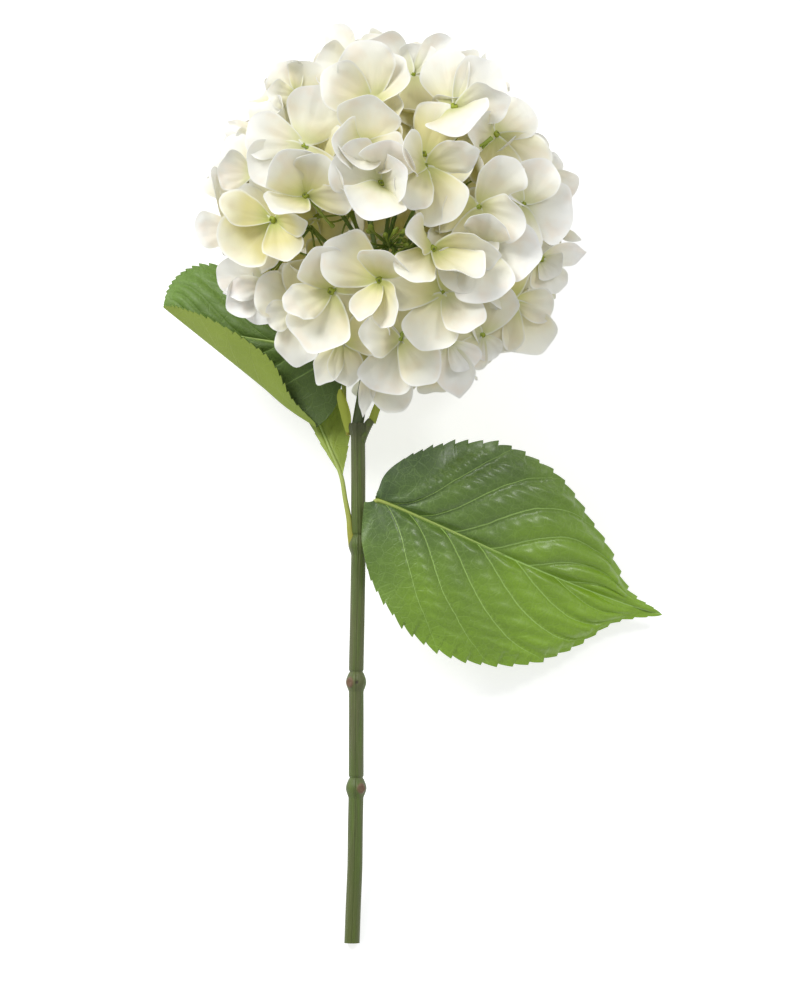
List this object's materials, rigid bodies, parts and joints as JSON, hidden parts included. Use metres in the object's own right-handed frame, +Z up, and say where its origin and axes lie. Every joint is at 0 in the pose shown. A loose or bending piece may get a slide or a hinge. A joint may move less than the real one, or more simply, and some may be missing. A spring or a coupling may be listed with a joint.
{
  "type": "cut hydrangea",
  "caption": "Cut mophead hydrangea stem lying on its side: a ball of cream four-sepalled florets, serrated green leaves and a bare stem.",
  "frame": {"origin": "centre of the bottom of the whole flower's box, on the surface it lies on", "axes": "+Y from the stem's cut end towards the head, +Z up off the surface, +X to the right seen from above with the head away from the viewer"},
  "size_m": [0.2521, 0.4518, 0.1877],
  "materials": {
    "stem": "satin green bark",
    "sepal": "soft matt",
    "leaf": "glossy, veined",
    "bract": "satin"
  },
  "bodies": {
    "root": {"stem": "stem", "flower_head": "sepal", "leaf_right": "leaf", "leaf_left": "leaf", "leaf_small": "leaf", "bract_left": "bract", "bract_right": "bract"}
  },
  "joints": []
}
